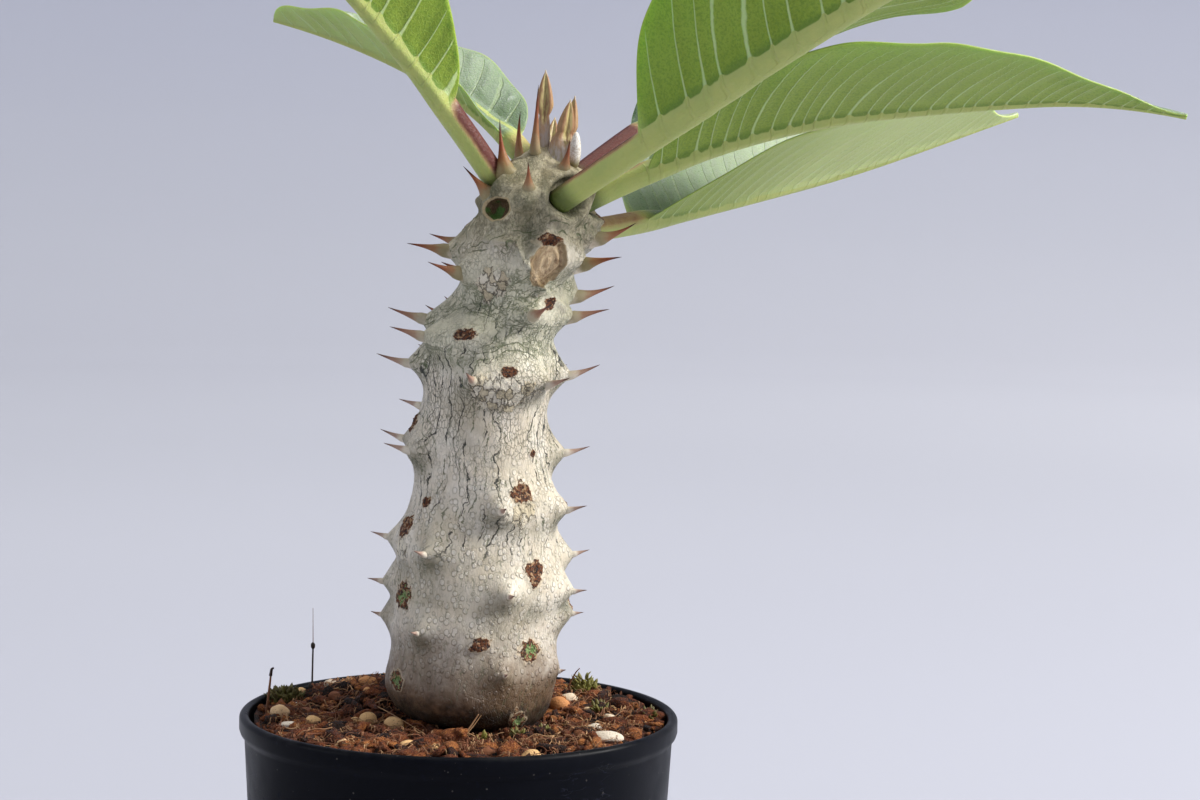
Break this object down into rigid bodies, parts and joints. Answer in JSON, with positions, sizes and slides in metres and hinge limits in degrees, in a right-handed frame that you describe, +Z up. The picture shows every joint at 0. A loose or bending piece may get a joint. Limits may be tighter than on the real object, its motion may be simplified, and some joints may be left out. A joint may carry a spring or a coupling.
{
  "type": "potted pachypodium baronii",
  "caption": "Thorny silver-grey succulent stem with long folded leaves at its crown, in soil in a round nursery pot.",
  "frame": {"origin": "middle of the flat underside of the pot, on the surface it stands on", "axes": "+Z up along the pot's axis; +X to the side where the crown leans and the long leaves point; -Y to the viewer in the picture"},
  "size_m": [0.207, 0.1649, 0.2585],
  "materials": {
    "pot_plastic": "satin, deep blue-black",
    "potting_soil": "moist, crumbly, red-brown, of bark and fibre with grains of pumice",
    "stem_bark": "smooth silver-grey bark with corky scars and red-brown thorns",
    "leaf_green": "leathery, half gloss, pale green midrib and veins",
    "young_leaf": "soft, rolled, yellow-green to brown"
  },
  "bodies": {
    "root": {"pot": "pot_plastic", "soil": "potting_soil", "stem": "stem_bark", "leaf_front_right": "leaf_green", "leaf_right": "leaf_green", "leaf_back_right": "leaf_green", "leaf_back": "leaf_green", "leaf_front_left": "leaf_green", "leaf_back_left": "leaf_green", "young_leaf_tall": "young_leaf", "young_leaf_right": "young_leaf", "young_leaf_back": "young_leaf"}
  },
  "joints": []
}
